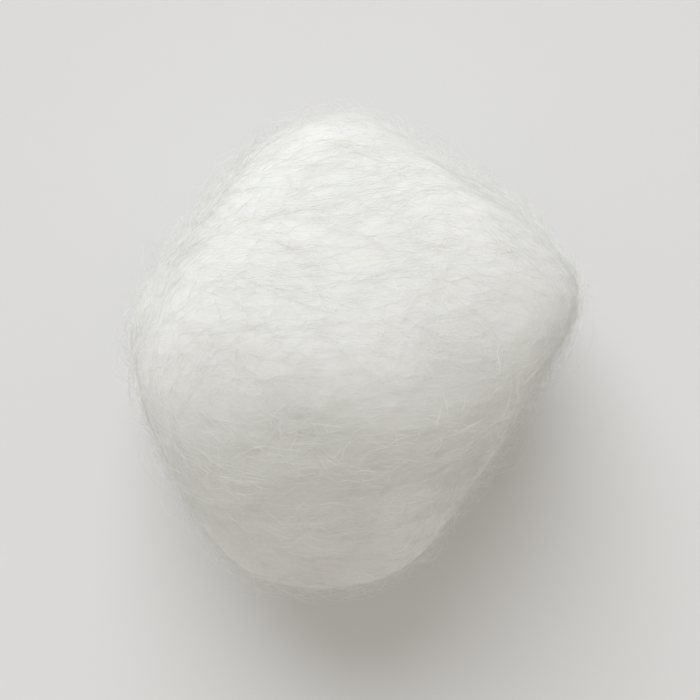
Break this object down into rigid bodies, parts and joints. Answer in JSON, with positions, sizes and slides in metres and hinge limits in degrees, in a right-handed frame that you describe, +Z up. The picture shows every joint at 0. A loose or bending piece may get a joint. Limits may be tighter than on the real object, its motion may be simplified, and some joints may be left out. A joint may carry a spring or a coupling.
{
  "type": "cotton ball",
  "caption": "Soft white ball of carded cotton, rolled up and slightly flattened, for wiping, dabbing and padding at a bench or desk.",
  "frame": {"origin": "middle of the ball's outline seen from above, on the surface that it rests on", "axes": "+Z up from the rested face to the crown, +Y along the roll that the fibre was wound into, +X across it"},
  "size_m": [0.0279, 0.03, 0.025],
  "materials": {
    "cotton": "matt loose fibre"
  },
  "bodies": {
    "root": {"cotton_ball": "cotton"}
  },
  "joints": []
}
